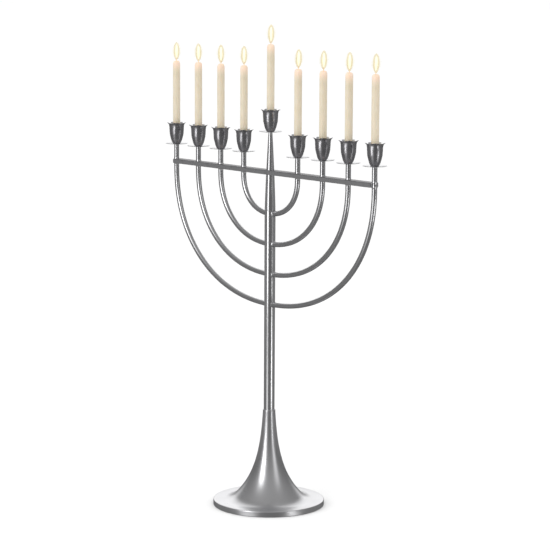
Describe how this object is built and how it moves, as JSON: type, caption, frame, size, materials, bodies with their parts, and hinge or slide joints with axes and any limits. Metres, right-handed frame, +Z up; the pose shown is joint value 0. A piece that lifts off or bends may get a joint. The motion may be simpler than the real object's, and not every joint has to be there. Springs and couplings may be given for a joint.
{
  "type": "menorah",
  "caption": "Tall floor-standing Hanukkah menorah: curved branches on a pole with a trumpet foot and a crossbar, tulip cups with drip pans, and taper candles that lift out.",
  "frame": {"origin": "on the floor under the centre of the foot, at the bottom centre of the bounding box", "axes": "+Z up along the pole, +X along the crossbar towards the viewer's right, -Y towards the front"},
  "size_m": [0.8746, 0.299, 1.2475],
  "materials": {
    "satin_silver": "satin silver plate over steel, lightly brushed",
    "dark_pewter": "darkened pewter plate, burnished",
    "ivory_wax": "ivory candle wax, smooth, slightly waxy sheen",
    "cotton_wick": "braided cotton, charred at the top",
    "cast_iron": "rough black casting",
    "black_felt": "dense wool felt",
    "zinc_plate": "bright zinc plate"
  },
  "bodies": {
    "stand": {"foot": "satin_silver", "foot_weight": "cast_iron", "felt_pad": "black_felt", "foot_bolt": "zinc_plate", "foot_washer": "zinc_plate", "pole": "satin_silver", "spindle": "satin_silver", "crossbar": "satin_silver", "arm_left_1": "satin_silver", "arm_left_2": "satin_silver", "arm_left_3": "satin_silver", "arm_left_4": "satin_silver", "arm_right_1": "satin_silver", "arm_right_2": "satin_silver", "arm_right_3": "satin_silver", "arm_right_4": "satin_silver", "pan_1": "satin_silver", "pan_2": "satin_silver", "pan_3": "satin_silver", "pan_4": "satin_silver", "pan_shamash": "satin_silver", "pan_5": "satin_silver", "pan_6": "satin_silver", "pan_7": "satin_silver", "pan_8": "satin_silver", "cup_1": "dark_pewter", "cup_2": "dark_pewter", "cup_3": "dark_pewter", "cup_4": "dark_pewter", "cup_shamash": "dark_pewter", "cup_5": "dark_pewter", "cup_6": "dark_pewter", "cup_7": "dark_pewter", "cup_8": "dark_pewter"},
    "candle_1": {"candle_1": "ivory_wax", "wick_1": "cotton_wick"},
    "candle_2": {"candle_2": "ivory_wax", "wick_2": "cotton_wick"},
    "candle_3": {"candle_3": "ivory_wax", "wick_3": "cotton_wick"},
    "candle_4": {"candle_4": "ivory_wax", "wick_4": "cotton_wick"},
    "candle_shamash": {"candle_shamash": "ivory_wax", "wick_shamash": "cotton_wick"},
    "candle_5": {"candle_5": "ivory_wax", "wick_5": "cotton_wick"},
    "candle_6": {"candle_6": "ivory_wax", "wick_6": "cotton_wick"},
    "candle_7": {"candle_7": "ivory_wax", "wick_7": "cotton_wick"},
    "candle_8": {"candle_8": "ivory_wax", "wick_8": "cotton_wick"}
  },
  "joints": [
    {"name": "candle_1_lift", "type": "slide", "parent": "stand", "child": "candle_1", "axis": [0, 0, 1], "range_m": [0, 0.06]},
    {"name": "candle_2_lift", "type": "slide", "parent": "stand", "child": "candle_2", "axis": [0, 0, 1], "range_m": [0, 0.06]},
    {"name": "candle_3_lift", "type": "slide", "parent": "stand", "child": "candle_3", "axis": [0, 0, 1], "range_m": [0, 0.06]},
    {"name": "candle_4_lift", "type": "slide", "parent": "stand", "child": "candle_4", "axis": [0, 0, 1], "range_m": [0, 0.06]},
    {"name": "candle_shamash_lift", "type": "slide", "parent": "stand", "child": "candle_shamash", "axis": [0, 0, 1], "range_m": [0, 0.06]},
    {"name": "candle_5_lift", "type": "slide", "parent": "stand", "child": "candle_5", "axis": [0, 0, 1], "range_m": [0, 0.06]},
    {"name": "candle_6_lift", "type": "slide", "parent": "stand", "child": "candle_6", "axis": [0, 0, 1], "range_m": [0, 0.06]},
    {"name": "candle_7_lift", "type": "slide", "parent": "stand", "child": "candle_7", "axis": [0, 0, 1], "range_m": [0, 0.06]},
    {"name": "candle_8_lift", "type": "slide", "parent": "stand", "child": "candle_8", "axis": [0, 0, 1], "range_m": [0, 0.06]}
  ]
}
